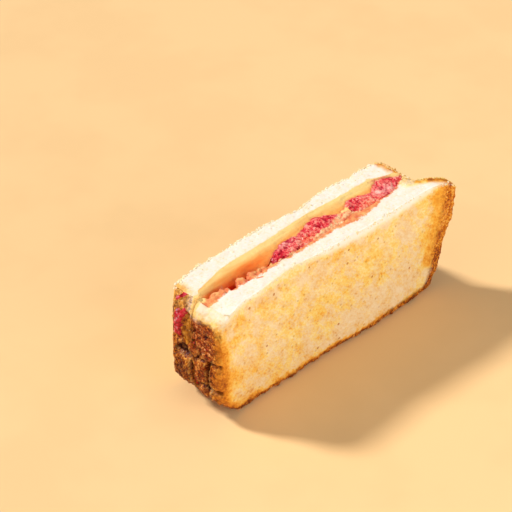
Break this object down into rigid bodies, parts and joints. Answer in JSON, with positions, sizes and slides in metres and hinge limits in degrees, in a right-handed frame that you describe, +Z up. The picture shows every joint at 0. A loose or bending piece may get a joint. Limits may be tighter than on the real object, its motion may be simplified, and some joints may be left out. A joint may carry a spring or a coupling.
{
  "type": "peanut butter and jelly sandwich half",
  "caption": "Half of a pan-fried white bread sandwich filled with peanut butter and red jam, standing on its bottom crust with the cut face up.",
  "frame": {"origin": "bottom centre of the bounding box, on the surface that the half stands on", "axes": "+Z up, from the bottom crust to the cut face. +X runs along the cut, towards the lip of the front slice. +Y goes from the front toasted face to the back one"},
  "size_m": [0.1312, 0.0306, 0.0521],
  "materials": {
    "bread": "white crumb at the cut, golden mottled toast on the flat faces, rough brown crust at the ends",
    "peanut_butter": "smooth, slightly oily",
    "jam": "wet, pulpy, translucent"
  },
  "bodies": {
    "root": {"front_slice": "bread", "back_slice": "bread", "peanut_butter": "peanut_butter", "jam": "jam"}
  },
  "joints": []
}
